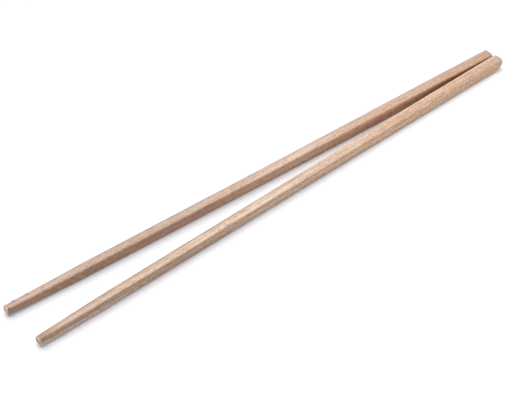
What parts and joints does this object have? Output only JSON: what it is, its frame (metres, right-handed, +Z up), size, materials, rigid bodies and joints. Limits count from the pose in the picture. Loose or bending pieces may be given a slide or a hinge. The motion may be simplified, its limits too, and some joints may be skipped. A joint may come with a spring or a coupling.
{
  "type": "pair of wooden chopsticks",
  "caption": "Pair of square wooden chopsticks with sanded edges, tapering to sharpened tips, lying flat with their butts side by side and their tips spread apart.",
  "frame": {"origin": "middle of the pair's outline on the table, under both sticks", "axes": "+Z up from the table, +X from the tips to the butts along the middle of the pair, +Y from the left stick to the right one"},
  "size_m": [0.2404, 0.0224, 0.0049],
  "materials": {
    "left_wood": "bare, sanded, yellowish tan",
    "right_wood": "bare, sanded, pinkish tan"
  },
  "bodies": {
    "root": {"left_chopstick": "left_wood", "right_chopstick": "right_wood"}
  },
  "joints": []
}
